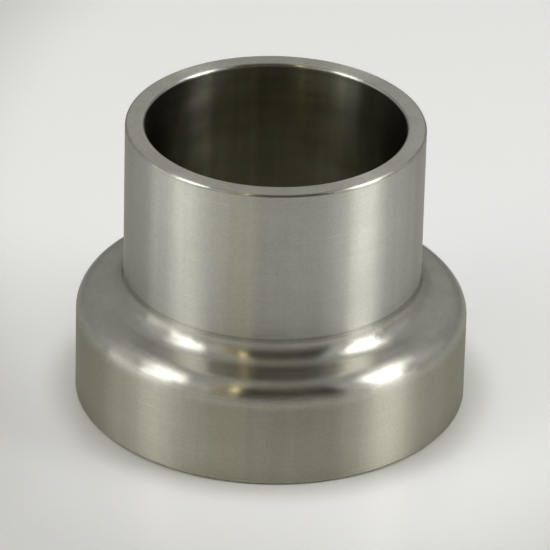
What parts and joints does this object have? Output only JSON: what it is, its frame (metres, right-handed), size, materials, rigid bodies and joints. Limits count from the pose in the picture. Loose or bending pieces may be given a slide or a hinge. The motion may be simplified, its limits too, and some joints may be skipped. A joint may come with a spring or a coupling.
{
  "type": "butt weld adapter",
  "caption": "Short turned stainless adapter that joins a thin-walled 1 inch tube to a 1 inch pipe, with a butt weld at each end.",
  "frame": {"origin": "centre of the pipe end's weld face, on the bore's axis", "axes": "+Z along the bore's axis, from the pipe end towards the tube end; X and Y are free, because the part is round"},
  "size_m": [0.0334, 0.0334, 0.0254],
  "materials": {
    "stainless_steel": "turned and lightly polished stainless steel, satin on the straight walls and brighter on the rounded edges, the fillet and the shoulder"
  },
  "bodies": {
    "root": {"adapter_body": "stainless_steel"}
  },
  "joints": []
}
